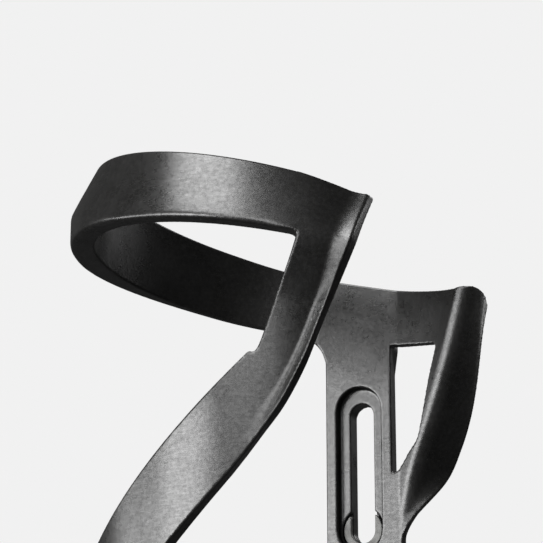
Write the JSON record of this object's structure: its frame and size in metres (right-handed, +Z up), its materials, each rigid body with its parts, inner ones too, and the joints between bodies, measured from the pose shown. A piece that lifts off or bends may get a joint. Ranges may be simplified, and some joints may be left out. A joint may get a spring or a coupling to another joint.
{
  "type": "water bottle cage",
  "caption": "Side-entry bicycle bottle cage: slotted back plate, tilted retaining band, diagonal strap and side wing in black moulded composite.",
  "frame": {"origin": "on the mounting face of the back plate, midway between the two bolt seats", "axes": "+Y out of the mounting face into the bicycle frame, +Z up along the bottle axis, +X towards the entry side"},
  "size_m": [0.0763, 0.0855, 0.1482],
  "materials": {
    "plate_composite": "satin black chopped-fibre composite, fine mottled grain",
    "band_composite": "satin black chopped-fibre composite, fine streaky grain",
    "seat_metal": "satin bead-blasted metal"
  },
  "bodies": {
    "root": {"back_plate": "plate_composite", "side_wing": "plate_composite", "base_toe": "plate_composite", "strap_foot": "band_composite", "rear_band": "band_composite", "upper_bolt_seat": "seat_metal", "lower_bolt_seat": "seat_metal"},
    "arm": {"front_band": "band_composite", "diagonal_strap": "band_composite"}
  },
  "joints": [
    {"name": "arm_flex", "type": "hinge", "parent": "root", "child": "arm", "pos_m": [-0.0446, -0.0429, 0.02], "axis": [0, 0, -1], "range_deg": [0, 6], "stiffness_Nm_per_rad": 12}
  ]
}
